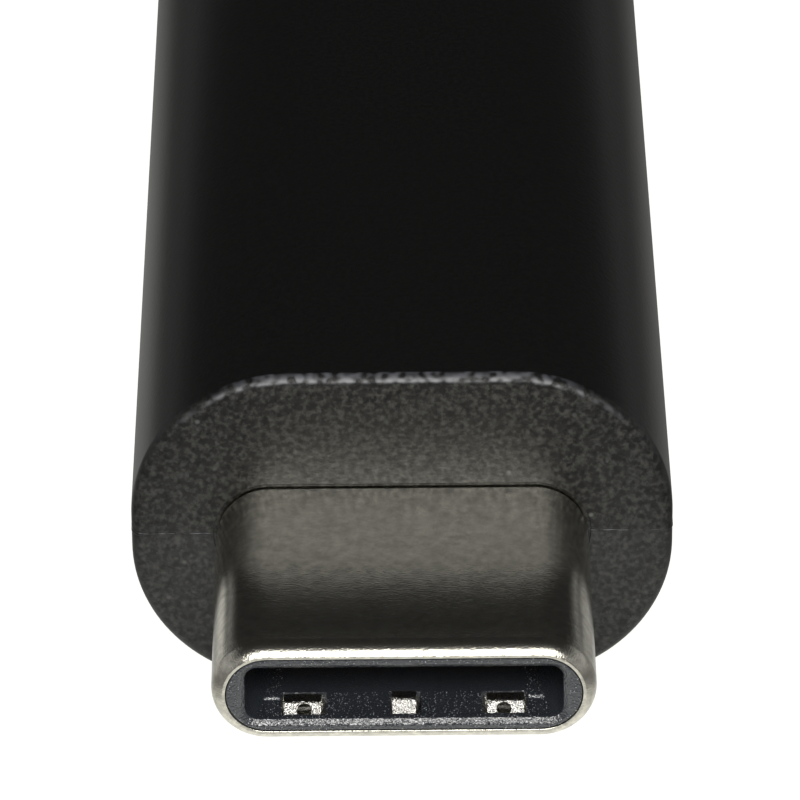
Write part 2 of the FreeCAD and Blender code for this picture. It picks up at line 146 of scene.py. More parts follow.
@dataclass(frozen=True)
class Section:
    """A rounded rectangle across the plug, or a stadium or circle where its corners meet."""

    width: float
    height: float
    corner: float
    depth: float

    def inset(self, amount: float, depth: float) -> "Section":
        """Shrink the section by an amount all round and put it at a new depth."""
        corner = max(self.corner - amount, 0.0)
        return Section(self.width - 2 * amount, self.height - 2 * amount, corner, depth)

    def quarter(self, steps: int) -> list[tuple[float, float]]:
        """Sample the quarter from the middle of the right side to the middle of the top.

        Args:
            steps: Number of equal steps along the quarter.

        Returns:
            One more (x, level) pair than there are steps.
        """
        upright = self.height / 2 - self.corner
        level = self.width / 2 - self.corner
        arc = self.corner * math.pi / 2
        total = upright + arc + level
        points = []
        for index in range(steps + 1):
            way = total * index / steps
            if way <= upright:
                points.append((self.width / 2, way))
            elif way <= upright + arc:
                angle = (way - upright) / self.corner
                points.append((level + self.corner * math.cos(angle),
                               upright + self.corner * math.sin(angle)))
            else:
                points.append((total - way, self.height / 2))
        return points

    def ring(self, frame: PlugFrame, steps: int = QUARTER_STEPS) -> list[Vector]:
        """Sample the whole outline, the same way round for every section.

        Args:
            frame: Frame that turns plug places into metres.
            steps: Number of steps in each quarter.

        Returns:
            Four times as many points as there are steps.
        """
        quarter = self.quarter(steps)
        outline = quarter[:-1]
        outline += [(-x, level) for x, level in quarter[:0:-1]]
        outline += [(-x, -level) for x, level in quarter[:-1]]
        outline += [(x, -level) for x, level in quarter[:0:-1]]
        return [frame.at(x, self.depth, level) for x, level in outline]


def stadium(width: float, height: float, depth: float) -> Section:
    """Make a section with fully round sides."""
    return Section(width, height, height / 2, depth)


def circle(radius: float, depth: float) -> Section:
    """Make a round section."""
    return Section(2 * radius, 2 * radius, radius, depth)


def quarter_arc(radius: float, steps: int) -> list[tuple[float, float]]:
    """Sample a rounded edge between two faces that stand square to each other.

    Args:
        radius: Radius of the edge.
        steps: Number of steps round it.

    Returns:
        For each point, how far it still is from the second face and how far it has left the first.
    """
    angles = [math.pi / 2 * index / steps for index in range(steps + 1)]
    return [(radius * (1 - math.sin(angle)), radius * (1 - math.cos(angle))) for angle in angles]


def rounded_edge(section: Section, radius: float, outwards: bool, steps: int = 8) -> list[Section]:
    """Round the edge between a face across the plug and the side behind or before it.

    Args:
        section: The full section at the depth of the face.
        radius: Radius of the edge.
        outwards: True where the sections grow from the face to the side, False the other way.
        steps: Number of steps round the edge.

    Returns:
        The sections in the order in which they are met.
    """
    way = 1 if outwards else -1
    arc = [section.inset(left, section.depth + way * gone) for left, gone in quarter_arc(radius, steps)]
    return arc[::way]


def shade(work: BMesh, crease: float) -> None:
    """Shade a bmesh smoothly, apart from the edges at which its faces turn by more than the crease."""
    for face in work.faces:
        face.smooth = True
    for edge in work.edges:
        edge.smooth = len(edge.link_faces) == 2 and edge.calc_face_angle(0.0) < crease


def to_mesh(name: str, work: BMesh) -> Mesh:
    """Turn a bmesh into a mesh and free it."""
    mesh = bpy.data.meshes.new(name)
    work.to_mesh(mesh)
    work.free()
    return mesh


def place_mesh(name: str, mesh: Mesh) -> Object:
    """Put a finished mesh in the scene as a piece that rides on the plug."""
    mesh.name = name
    piece = bpy.data.objects.new(name, mesh)
    bpy.context.scene.collection.objects.link(piece)
    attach(piece, BODY)
    LOG.info("%s: %d faces", name, len(mesh.polygons))
    return piece


def finish_mesh(name: str, work: BMesh, material: Material,
                crease: float = SKIN_CREASE) -> Object:
    """Turn a bmesh into a smooth-shaded piece that rides on the plug.

    Args:
        name: Name of the piece.
        work: The bmesh, which is freed.
        material: Its material.
        crease: Angle between faces from which their edge stays sharp.

    Returns:
        The new object.
    """
    bmesh.ops.remove_doubles(work, verts=work.verts, dist=SKIN_MERGE * MM)
    bmesh.ops.recalc_face_normals(work, faces=work.faces)
    shade(work, crease)
    mesh = to_mesh(name, work)
    mesh.materials.append(material)
    return place_mesh(name, mesh)


def weigh_normals(piece: Object) -> None:
    """Keep large flat faces flat where they meet rounded edges."""
    modifier = piece.modifiers.new("weighted_normals", "WEIGHTED_NORMAL")
    modifier.mode = "FACE_AREA"
    modifier.keep_sharp = True


def loft(frame: PlugFrame, sections: list[Section]) -> BMesh:
    """Join sections into a closed skin, the last one to the first.

    Args:
        frame: Frame that turns plug places into metres.
        sections: Sections in the order in which the skin meets them.

    Returns:
        A bmesh of quads.
    """
    work = bmesh.new()
    rings = [[work.verts.new(point) for point in section.ring(frame)] for section in sections]
    for first, second in zip(rings, rings[1:] + rings[:1]):
        for index in range(len(first)):
            following = (index + 1) % len(first)
            work.faces.new((first[index], first[following], second[following], second[index]))
    return work


class Wiring:
    """A node tree that is wired one node at a time."""

    def __init__(self, tree: NodeTree) -> None:
        """Take the tree."""
        self.tree = tree

    def add(self, kind: str, values: dict | None = None, **settings: object) -> Node:
        """Add a node.

        Args:
            kind: Type name of the node.
            values: Input values and links by socket name or index. A socket as a value is linked.
            **settings: Properties of the node itself.

        Returns:
            The new node.
        """
        node = self.tree.nodes.new(kind)
        for key, value in settings.items():
            setattr(node, key, value)
        for key, value in (values or {}).items():
            if isinstance(value, NodeSocket):
                self.tree.links.new(value, node.inputs[key])
            else:
                node.inputs[key].default_value = value
        return node

    def give(self, kind: str, values: dict | None = None, **settings: object) -> NodeSocket:
        """Add a node and give its first output."""
        return self.add(kind, values, **settings).outputs[0]

    def axes(self, vector: NodeSocket) -> list[NodeSocket]:
        """Split a vector into its X, Y and Z."""
        return list(self.add("ShaderNodeSeparateXYZ", {0: vector}).outputs)

    def combine(self, operation: str, first: NodeSocket, second: NodeSocket | float = 0.0) -> NodeSocket:
        """Combine two numbers."""
        return self.give("ShaderNodeMath", {0: first, 1: second}, operation=operation)

    def remap(self, value: NodeSocket, source: Range, target: Range = UNIT,
              shape: str = "LINEAR") -> NodeSocket:
        """Map a range of values to another and clamp it."""
        values = dict(enumerate((value, *source, *target)))
        return self.give("ShaderNodeMapRange", values, interpolation_type=shape)


class NodeSheet(Wiring):
    """A node material that is built one node at a time.

    Attributes:
        origin: Where the patterns' own origin lies, in millimetres, well off the plug.
        front_y: Y of the normal over which the front face fades.
        edge_x, edge_y, edge_z: X, Y and Z of the normal over which the upper front edge fades.
    """

    origin: Triple = (13.1, 17.3, 11.9)
    front_y: Range = (-0.9, -0.3)
    edge_x: Range = (0.10, 0.50)
    edge_y: Range = (-0.35, -0.15)
    edge_z: Range = (0.15, 0.45)

    def __init__(self, name: str) -> None:
        """Start an empty material."""
        self.material = bpy.data.materials.new(name)
        self.material.use_nodes = True
        super().__init__(self.material.node_tree)
        self.tree.nodes.clear()

    def object_point(self) -> NodeSocket:
        """Give Object coordinates."""
        return self.add("ShaderNodeTexCoord").outputs["Object"]

    def object_place(self, scale: Triple = (1.0, 1.0, 1.0)) -> NodeSocket:
        """Give Object coordinates, stretched by a scale and moved off the patterns' own origin."""
        values = {"Vector": self.object_point(), "Scale": scale, "Location": metres(self.origin)}
        return self.give("ShaderNodeMapping", values)

    def noise(self, place: NodeSocket, size: float, detail: float = 2.0,
              roughness: float = 0.5) -> NodeSocket:
        """Give noise whose features are about a size in millimetres."""
        values = {"Vector": place, "Scale": 1.0 / (size * MM), "Detail": detail, "Roughness": roughness}
        return self.add("ShaderNodeTexNoise", values).outputs["Fac"]

    def specks(self, place: NodeSocket, spacing: float, radius: float, share: float,
               core: float = 0.3) -> NodeSocket:
        """Give soft round specks of uneven strength, strewn through the material.

        Args:
            place: Place on the piece.
            spacing: Size in millimetres of the cells, each of which may hold a speck.
            radius: Radius of a speck in millimetres.
            share: Share of the cells that hold one.
            core: Share of the radius within which a speck is full.

        Returns:
            The strength, from 0 between the specks to 1 in the middle of the strongest.
        """
        cells = self.add("ShaderNodeTexVoronoi", {"Vector": place, "Scale": 1.0 / (spacing * MM)}).outputs
        lot = self.give("ShaderNodeSeparateColor", {0: cells["Color"]})
        disc = self.remap(cells["Distance"], (core * radius / spacing, radius / spacing), FALLING)
        return self.combine("MULTIPLY", self.remap(lot, (1.0 - share, 1.0)), disc)

    def normal_axes(self) -> list[NodeSocket]:
        """Split the surface's normal into its X, Y and Z."""
        return self.axes(self.add("ShaderNodeNewGeometry").outputs["Normal"])

    def facing_front(self) -> NodeSocket:
        """Give 1 on faces that look along the mating direction and 0 on the top, sides and back."""
        return self.remap(self.normal_axes()[1], self.front_y, FALLING)

    def facing_edge(self) -> NodeSocket:
        """Give 1 on the upper rounded edge of the front face and 0 on the face, the top and the sides."""
        x, y, z = self.normal_axes()
        middle = self.remap(self.combine("ABSOLUTE", x), self.edge_x, FALLING)
        upper = self.combine("MULTIPLY", self.remap(z, self.edge_z), middle)
        return self.combine("MULTIPLY", upper, self.remap(y, self.edge_y, FALLING))

    def crown(self, level: float, radius: float, draft: float) -> NodeSocket:
        """Give the height of a face that bulges slightly and leans back on both sides of a parting line.

        Args:
            level: Level of the parting line in millimetres.
            radius: Radius of the bulge in millimetres.
            draft: Angle in degrees by which each half leans back at the line.

        Returns:
            The height in metres, 0 at the level and falling above and below it.
        """
        offset = self.combine("SUBTRACT", self.axes(self.object_point())[2], level * MM)
        bulge = self.combine("MULTIPLY", self.combine("MULTIPLY", offset, offset), -0.5 / (radius * MM))
        lean = self.combine("MULTIPLY", self.combine("ABSOLUTE", offset), math.tan(math.radians(draft)))
        return self.combine("SUBTRACT", bulge, lean)

    def blend(self, factor: NodeSocket, first: NodeSocket | Triple,
              second: NodeSocket | Triple) -> NodeSocket:
        """Mix two colours by a factor."""
        colours = {key: value if isinstance(value, NodeSocket) else (*value, 1.0)
                   for key, value in ((6, first), (7, second))}
        return self.add("ShaderNodeMix", {0: factor, **colours}, data_type="RGBA").outputs[2]

    def bump(self, height: NodeSocket, depth: float, normal: NodeSocket | None = None,
             strength: float = 1.0) -> NodeSocket:
        """Give a bumped normal.

        Args:
            height: Height of the surface, from 0 to 1.
            depth: Height of the full range in millimetres.
            normal: Normal from a bump before this one.
            strength: Strength of the bump.

        Returns:
            The normal.
        """
        values = {"Height": height, "Strength": strength, "Distance": depth * MM}
        if normal is not None:
            values["Normal"] = normal
        return self.give("ShaderNodeBump", values)

    def end(self, surface: NodeSocket) -> Material:
        """Show a shader on the surface and give the material."""
        self.add("ShaderNodeOutputMaterial", {"Surface": surface})
        return self.material

    def principled(self, values: dict) -> Material:
        """Finish the sheet with a Principled shader and give the material."""
        return self.end(self.give("ShaderNodeBsdfPrincipled", values))


def around(middle: float, spread: Range) -> Range:
    """Give the range that a spread makes around a value."""
    return middle + spread[0], middle + spread[1]


def metres(lengths: Range | Triple) -> tuple[float, ...]:
    """Turn millimetres into metres."""
    return tuple(length * MM for length in lengths)


@dataclass(frozen=True)
class GrainPlastic:
    """Black plastic with the grain of a spark-eroded mould, on faces that bulge slightly. Its colour also
    carries painted light: a painted sheen and painted glints on the front face, and a painted highlight in
    beads along the face's upper edge.
    """

    middle: float
    name: str = "housing_grain"
    dark: Triple = (0.0080, 0.0081, 0.0082)
    light: Triple = (0.0124, 0.0123, 0.0119)
    # Painted sheen: a lighter tone painted in mottles on the front face only, in place of the glints of its
    # grain.
    painted_sheen_tone: Triple = (0.067, 0.067, 0.062)
    # Painted highlight: a paler, bluish tone painted in beads along the upper rounded edge of the front
    # face.
    painted_bead_highlight_tone: Triple = (0.125, 0.130, 0.150)
    # Painted glints: pale specks painted into the colour of the front face, where its grain would catch the
    # lamp.
    painted_glint_tone: Triple = (0.170, 0.172, 0.165)
    crown_radius: float = 400.0
    draft: float = 5.8
    grain_size: float = 0.11
    grain_depth: float = 0.0045
    grain_range: Range = (0.35, 0.65)
    sheen_mottle_size: float = 0.13
    sheen_mottle_range: Range = (0.43, 0.72)
    glint_spacing: float = 0.36
    glint_radius: float = 0.075
    glint_share: float = 0.14
    bead_size: float = 0.17
    bead_range: Range = (0.36, 0.74)
    edge_range: Range = (0.36, 0.64)
    edge_shine: Range = (0.30, 1.30)
    face_range: Range = (0.30, 0.70)
    face_shine: Range = (0.40, 0.60)
    side_shine: float = 0.50
    roughness: float = 0.28
    face_roughness: float = 0.38
    edge_roughness: float = 0.50

    def build(self) -> Material:
        """Build the material."""
        sheet = NodeSheet(self.name)
        place = sheet.object_place()
        grain = sheet.noise(place, self.grain_size, 1.0)
        beads = sheet.noise(place, self.bead_size, 0.0)
        front = sheet.facing_front()
        edge = sheet.facing_edge()
        # Painted sheen: mottles of a lighter tone, which are painted on the front face only.
        painted_sheen_mottle = sheet.remap(sheet.noise(place, self.sheen_mottle_size, 2.0, 0.6), self.sheen_mottle_range)
        # Painted glints: the specks mark where a pale glint is painted on the front face.
        specks = sheet.specks(place, self.glint_spacing, self.glint_radius, self.glint_share)
        # Painted highlight: beads along the upper rounded edge of the front face, where the lamp's highlight
        # falls.
        painted_edge_highlight = sheet.combine("MULTIPLY", sheet.remap(beads, self.bead_range), edge)
        tone = sheet.blend(sheet.remap(grain, self.grain_range), self.dark, self.light)
        # Painted sheen: the lighter mottled tone is painted on the front face only.
        tone = sheet.blend(sheet.combine("MULTIPLY", painted_sheen_mottle, front), tone, self.painted_sheen_tone)
        # Painted glints: pale specks are painted on the front face only.
        tone = sheet.blend(sheet.combine("MULTIPLY", specks, front), tone, self.painted_glint_tone)
        normal = sheet.bump(sheet.crown(self.middle, self.crown_radius, self.draft), METRE)
        face_shine = sheet.remap(beads, self.face_range, self.face_shine)
        edge_shine = sheet.remap(beads, self.edge_range, self.edge_shine)
        shine = sheet.blend(front, (self.side_shine,) * 3, face_shine)
        rough = sheet.remap(front, UNIT, (self.roughness, self.face_roughness))
        edge_rough = sheet.remap(edge, UNIT, (0.0, self.edge_roughness))
        return sheet.principled({
            # The base colour carries the painted highlight in beads along the upper front edge.
            "Base Color": sheet.blend(painted_edge_highlight, tone, self.painted_bead_highlight_tone),
            "Roughness": sheet.combine("MAXIMUM", rough, edge_rough),
            "Specular IOR Level": sheet.blend(edge, shine, edge_shine),
            "Normal": sheet.bump(grain, self.grain_depth, normal),
        })


@dataclass(frozen=True)
class SatinMetal:
    """Plated or rolled metal with an uneven skin, a fine grain, cloudy tone and hairline scratches.

    Attributes:
        uneven: What the dark and the light clouds add to the roughness.
        lip_place: Y of a formed end, in millimetres, where the metal is rougher.
        lip_reach: How far from that end the roughness fades, in millimetres.
        lip_roughness: What the end adds to the roughness.
        lip_grain: What the end adds to the grain, as a share of its depth.
    """

    name: str
    tone: Triple
    deep_tone: Triple
    roughness: float
    uneven: Range = (0.04, -0.03)
    grain_size: float = 0.035
    grain_depth: float = 0.0006
    peel_size: float = 0.17
    peel_depth: float = 0.0008
    scratch_size: float = 0.035
    scratch_range: Range = (0.66, 0.74)
    scratch_strength: float = 0.3
    scratch_depth: float = 0.0008
    scratch_length: float = 60.0
    cloud_size: float = 0.9
    cloud_range: Range = (0.3, 0.7)
    lip_place: float = 0.0
    lip_reach: float = 1.0
    lip_roughness: float = 0.0
    lip_grain: float = 0.0

    def build(self) -> Material:
        """Build the material."""
        sheet = NodeSheet(self.name)
        place = sheet.object_place()
        clouds = sheet.remap(sheet.noise(place, self.cloud_size, 3.0, 0.6), self.cloud_range)
        lip_span = metres(around(self.lip_place, (0.0, self.lip_reach)))
        lip = sheet.remap(sheet.axes(sheet.object_point())[1], lip_span, FALLING)
        grain = sheet.noise(place, self.grain_size, 2.0, 0.6)
        grain = sheet.combine("MULTIPLY", grain, sheet.remap(lip, UNIT, (1.0, 1.0 + self.lip_grain)))
        drawn = sheet.object_place((1.0, 1.0 / self.scratch_length, 1.0))
        scratches = sheet.remap(sheet.noise(drawn, self.scratch_size, 1.0, 0.4), self.scratch_range)
        normal = sheet.bump(sheet.noise(place, self.peel_size), self.peel_depth)
        normal = sheet.bump(grain, self.grain_depth, normal)
        rough = sheet.remap(clouds, UNIT, around(self.roughness, self.uneven))
        return sheet.principled({
            "Base Color": sheet.blend(clouds, self.deep_tone, self.tone),
            "Metallic": 1.0,
            "Roughness": sheet.combine("ADD", rough, sheet.combine("MULTIPLY", lip, self.lip_roughness)),
            "Normal": sheet.bump(scratches, -self.scratch_depth, normal, self.scratch_strength),
        })


@dataclass(frozen=True)
class MouldedPlastic:
    """Moulded plastic with a slight flow pattern and a fine matte skin."""

    name: str
    tone: Triple
    deep_tone: Triple
    roughness: float
    uneven: Range = (-0.06, 0.08)
    flow_size: float = 0.6
    skin_size: float = 0.03
    skin_range: Range = (0.3, 0.7)
    skin_strength: float = 0.7
    skin_depth: float = 0.0012
    skin_detail: float = 3.0
    shine: float = 0.5
    index: float = 1.5

    def build(self) -> Material:
        """Build the material."""
        sheet = NodeSheet(self.name)
        place = sheet.object_place()
        flow = sheet.noise(place, self.flow_size, 3.0, 0.6)
        skin = sheet.noise(place, self.skin_size, self.skin_detail, 0.65)
        return sheet.principled({
            "Base Color": sheet.blend(flow, self.deep_tone, self.tone),
            "Roughness": sheet.remap(skin, self.skin_range, around(self.roughness, self.uneven)),
            "Specular IOR Level": self.shine,
            "IOR": self.index,
            "Normal": sheet.bump(skin, self.skin_depth, strength=self.skin_strength),
        })


@dataclass(frozen=True)
class Housing:
    """The moulded housing, with its rounded edges, cable outlet and hollow for the inner mould."""

    frame: PlugFrame
    side_flat: float = 0.80
    side_wall: float = 0.90
    front_edge: float = 0.25
    groove_width: float = 0.06
    groove_edge: float = 0.012
    groove_fill: float = 0.060
    groove_steps: int = 4
    rear_edge: float = 0.80
    rear_steps: int = 12
    bore: float = 5.00
    bore_chamfer: float = 0.30

    def sections(self) -> list[Section]:
        """List the sections of the skin, from the groove round the shell to the outside and back inside.

        Thin flash fills the groove up to just below the face.

        Returns:
            The sections in the order in which the skin meets them.
        """
        width, height, front, rear = self.frame.span("outer_housing")
        shell_width, shell_height, _, _ = self.frame.span("plug_shell")
        inner_width, inner_height, inner_front, inner_rear = self.frame.span("inner_mould")
        corner = (height - self.side_flat) / 2
        inner = Section(inner_width, inner_height, corner - self.side_wall, inner_rear)
        outside = Section(width, height, corner, front)
        hole = stadium(shell_width, shell_height, inner_front)
        groove = hole.inset(-self.groove_width, front)
        flash = front + self.groove_fill
        return [
            hole.inset(0.0, flash),
            hole.inset(-self.groove_width, flash),
            *(groove.inset(-gone, front + left)
              for left, gone in quarter_arc(self.groove_edge, self.groove_steps)),
            *rounded_edge(outside, self.front_edge, True),
            *rounded_edge(outside.inset(0.0, rear), self.rear_edge, False, self.rear_steps),
            circle(self.bore / 2 + self.bore_chamfer, rear),
            circle(self.bore / 2, rear - self.bore_chamfer),
            circle(self.bore / 2, inner_rear),
            inner,
            inner.inset(0.0, inner_front),
            hole,
        ]

    def build(self, material: Material) -> None:
        """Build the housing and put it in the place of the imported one."""
        piece = finish_mesh("housing_body", loft(self.frame, self.sections()), material)
        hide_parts("outer_housing")


@dataclass(frozen=True)
class Shell:
    """The drawn shell, whose lip curves in to a narrow flat rim."""

    frame: PlugFrame
    wall: float = 0.30
    lip_radius: float = 0.44
    lip_drop: float = 0.230
    lip_steps: int = 18
    inner_edge: float = 0.02
    inner_steps: int = 4

    def sections(self) -> list[Section]:
        """List the sections of the skin, from the rim round the outside and back through the bore."""
        width, height, front, rear = self.frame.span("plug_shell")
        outside = stadium(width, height, front)
        bore = outside.inset(self.wall, front)
        first = math.asin(1.0 - self.lip_drop / self.lip_radius)
        sections = []
        for index in range(self.lip_steps + 1):
            angle = first + (math.pi / 2 - first) * index / self.lip_steps
            depth = front + self.lip_radius * (math.cos(first) - math.cos(angle))
            sections.append(outside.inset(self.lip_radius * (1.0 - math.sin(angle)), depth))
        sections += [outside.inset(0.0, rear), bore.inset(0.0, rear)]
        sections += [bore.inset(-gone, front + left)
                     for left, gone in quarter_arc(self.inner_edge, self.inner_steps)]
        return sections

    def build(self, material: Material) -> None:
        """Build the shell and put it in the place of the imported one."""
        piece = finish_mesh("shell_tube", loft(self.frame, self.sections()), material)
        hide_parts("plug_shell")


def merged_copy(node: Object) -> BMesh:
    """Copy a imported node's loose triangles, merged and with its flat faces joined."""
    work = bmesh.new()
    work.from_mesh(node.data)
    bmesh.ops.remove_doubles(work, verts=work.verts, dist=NODE_MERGE * MM)
    bmesh.ops.dissolve_limit(work, angle_limit=FLAT_ANGLE, use_dissolve_boundaries=False,
                             verts=work.verts, edges=work.edges)
    return work


@dataclass(frozen=True)
class EdgeFinish:
    """Small rounded edges on stamped, moulded or cut pieces, which catch the light.

    Attributes:
        radius: Radius of the edges.
        steps: Number of faces round each edge.
        angle: Angle in degrees from which an edge counts as one.
    """

    radius: float
    steps: int = 2
    angle: float = 32.0

    def apply(self, work: BMesh) -> None:
        """Round the sharp edges of a closed bmesh."""
        sharp = [edge for edge in work.edges
                 if len(edge.link_faces) == 2 and edge.calc_face_angle(0.0) > math.radians(self.angle)]
        bmesh.ops.bevel(work, geom=sharp, offset=self.radius * MM, offset_type="OFFSET",
                        segments=self.steps, profile=0.5, affect="EDGES", clamp_overlap=False)


@dataclass(frozen=True)
class MouthPieces:
    """The pieces in and behind the mouth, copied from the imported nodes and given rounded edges."""

    nodes: dict[str, Object]
    materials: dict[Slot, Material]
    moulded: EdgeFinish = field(default_factory=lambda: EdgeFinish(0.017))
    stamped: EdgeFinish = field(default_factory=lambda: EdgeFinish(0.010))

    def build(self) -> None:
        """Build every piece."""
        self.soften("front_insulator", "mouth_sleeve", Slot.INSULATOR, self.moulded)
        self.soften("earth_spring_upper", "spring_upper", Slot.SPRING, self.stamped, True)
        self.soften("earth_spring_lower", "spring_lower", Slot.SPRING, self.stamped, True)
        self.soften("latch_plate", "latch_stamping", Slot.LATCH, self.stamped)

    def soften(self, node: str, name: str, slot: Slot, finish: EdgeFinish, curved: bool = False) -> None:
        """Build one piece and put it in the place of its node.

        Args:
            node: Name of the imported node.
            name: Name of the new piece.
            slot: Its material slot.
            finish: Its edges.
            curved: True where its bends run smoothly into each other.
        """
        work = merged_copy(self.nodes[node])
        finish.apply(work)
        piece = finish_mesh(name, work, self.materials[slot], NODE_CREASE)
        if not curved:
            weigh_normals(piece)
        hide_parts(node)


class Recipe(Wiring):
    """A Geometry Nodes tree that is built one node at a time and ends in a finish."""

    def __init__(self, name: str, inputs: dict[str, str]) -> None:
        """Start a tree.

        Args:
            name: Name of the tree.
            inputs: Kinds of its inputs by name, between the geometry and the finish.
        """
        super().__init__(bpy.data.node_groups.new(name, "GeometryNodeTree"))
        inputs = {"Geometry": "Geometry", **inputs, "Finish": "Material"}
        self.keys = {label: self.socket(label, "INPUT", kind) for label, kind in inputs.items()}
        self.socket("Geometry", "OUTPUT", "Geometry")
        self.start = self.tree.nodes.new("NodeGroupInput")

    def socket(self, label: str, way: str, kind: str) -> str:
        """Add a socket to the tree's own inputs or outputs and give its identifier."""
        kind = f"NodeSocket{kind}"
        return self.tree.interface.new_socket(label, in_out=way, socket_type=kind).identifier

    def input(self, label: str) -> NodeSocket:
        """Give the socket of an input."""
        return self.start.outputs[label]

    def finish(self, geometry: NodeSocket) -> None:
        """End the tree with real faces and the finish."""
        real = self.give("GeometryNodeRealizeInstances", {"Geometry": geometry})
        finish = self.input("Finish")
        self.add("NodeGroupOutput",
                 {0: self.give("GeometryNodeSetMaterial", {"Geometry": real, "Material": finish})})

    def cook(self, mesh: Mesh, values: dict[str, object]) -> Mesh:
        """Run the tree on a mesh.

        Args:
            mesh: The mesh to start from.
            values: Values of the inputs by name.

        Returns:
            The resulting plain mesh.
        """
        carrier = bpy.data.objects.new(self.tree.name, mesh)
        bpy.context.scene.collection.objects.link(carrier)
        modifier = carrier.modifiers.new(self.tree.name, "NODES")
        modifier.node_group = self.tree
        for label, value in values.items():
            modifier[self.keys[label]] = value
        graph = bpy.context.evaluated_depsgraph_get()
        graph.update()
        result = bpy.data.meshes.new_from_object(carrier.evaluated_get(graph), depsgraph=graph)
        carrier.modifiers.remove(modifier)
        bpy.data.objects.remove(carrier)
        return result


@dataclass(frozen=True)
class ContactRows:
    """The two rows of sprung contacts, each repeated at the pitch from one contact."""

    nodes: dict[str, Object]
    material: Material
    pitch: float = 0.50
    count: int = 12
    left_out: tuple[int, int] = (6, 7)
    edge: EdgeFinish = field(default_factory=lambda: EdgeFinish(0.012))

    def recipe(self) -> Recipe:
        """Build the tree that repeats a contact along the row, apart from those in a gap."""
        ends = {"First left out": "GREATER_EQUAL", "Last left out": "LESS_EQUAL"}
        recipe = Recipe("contact_row", {"Pitch": "Float", "Count": "Int", **dict.fromkeys(ends, "Int")})
        step = recipe.give("ShaderNodeCombineXYZ", {0: recipe.input("Pitch")})
        line = recipe.give("GeometryNodeMeshLine", {"Count": recipe.input("Count"), "Offset": step})
        index = recipe.give("GeometryNodeInputIndex")
        inside = [recipe.give("FunctionNodeCompare", {2: index, 3: recipe.input(label)},
                              data_type="INT", operation=test) for label, test in ends.items()]
        gap = recipe.give("FunctionNodeBooleanMath", dict(enumerate(inside)), operation="AND")
        kept = recipe.give("GeometryNodeDeleteGeometry", {"Geometry": line, "Selection": gap})
        recipe.finish(recipe.give("GeometryNodeInstanceOnPoints",
                                  {"Points": kept, "Instance": recipe.input("Geometry")}))
        return recipe

    def build(self) -> None:
        """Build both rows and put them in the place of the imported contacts."""
        recipe = self.recipe()
        self.build_row(recipe, "upper", (self.count, self.count))
        self.build_row(recipe, "lower", (self.left_out[0] - 1, self.left_out[1] - 1))

    def build_row(self, recipe: Recipe, row: str, gap: tuple[int, int]) -> None:
        """Build one row.

        Args:
            recipe: The tree that repeats a contact.
            row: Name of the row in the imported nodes.
            gap: First and last index that are left out.
        """
        names = sorted(name for name in self.nodes if name.startswith(f"contact_{row}_"))
        lowest = min(names, key=lambda name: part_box(name)[0][0])
        work = merged_copy(self.nodes[lowest])
        self.edge.apply(work)
        shade(work, NODE_CREASE)
        mesh = recipe.cook(to_mesh("single_contact", work), {
            "Pitch": self.pitch * MM,
            "Count": self.count,
            "First left out": gap[0],
            "Last left out": gap[1],
            "Finish": self.material,
        })
        piece = place_mesh(f"contact_row_{row}", mesh)
        weigh_normals(piece)
        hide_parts(*names)


@dataclass(frozen=True)
class PartingRoute:
    """The way of the mould's parting line round the housing, from the shell to the cable outlet."""

    housing: Housing
    outlet_room: float = 2.95
    steps: int = 12

    def side(self, side: int) -> list[Vector]:
        """List the points of the line on one side."""
        frame = self.housing.frame
        width, _, front, rear = frame.span("outer_housing")
        half = width / 2
        nose = quarter_arc(self.housing.front_edge, self.steps)
        tail = quarter_arc(self.housing.rear_edge, self.steps)
        points = [(frame.span("plug_shell")[0] / 2 + self.housing.groove_width, front)]
        points += [(half - left, front + gone) for left, gone in nose]
        points += [(half - gone, rear - left) for left, gone in tail]
        points.append((self.outlet_room, rear))
        return [frame.at(side * x, depth, 0.0) for x, depth in points]


@dataclass(frozen=True)
class SleeveRoute:
    """The way of the short parting line across the front of the sleeve, beside the mouth."""

    frame: PlugFrame
    inner: float = 3.55
    outer: float = 3.76

    def side(self, side: int) -> list[Vector]:
        """List the points of the line on one side."""
        front = self.frame.span("front_insulator")[2]
        return [self.frame.at(side * x, front, 0.0) for x in (self.inner, self.outer)]


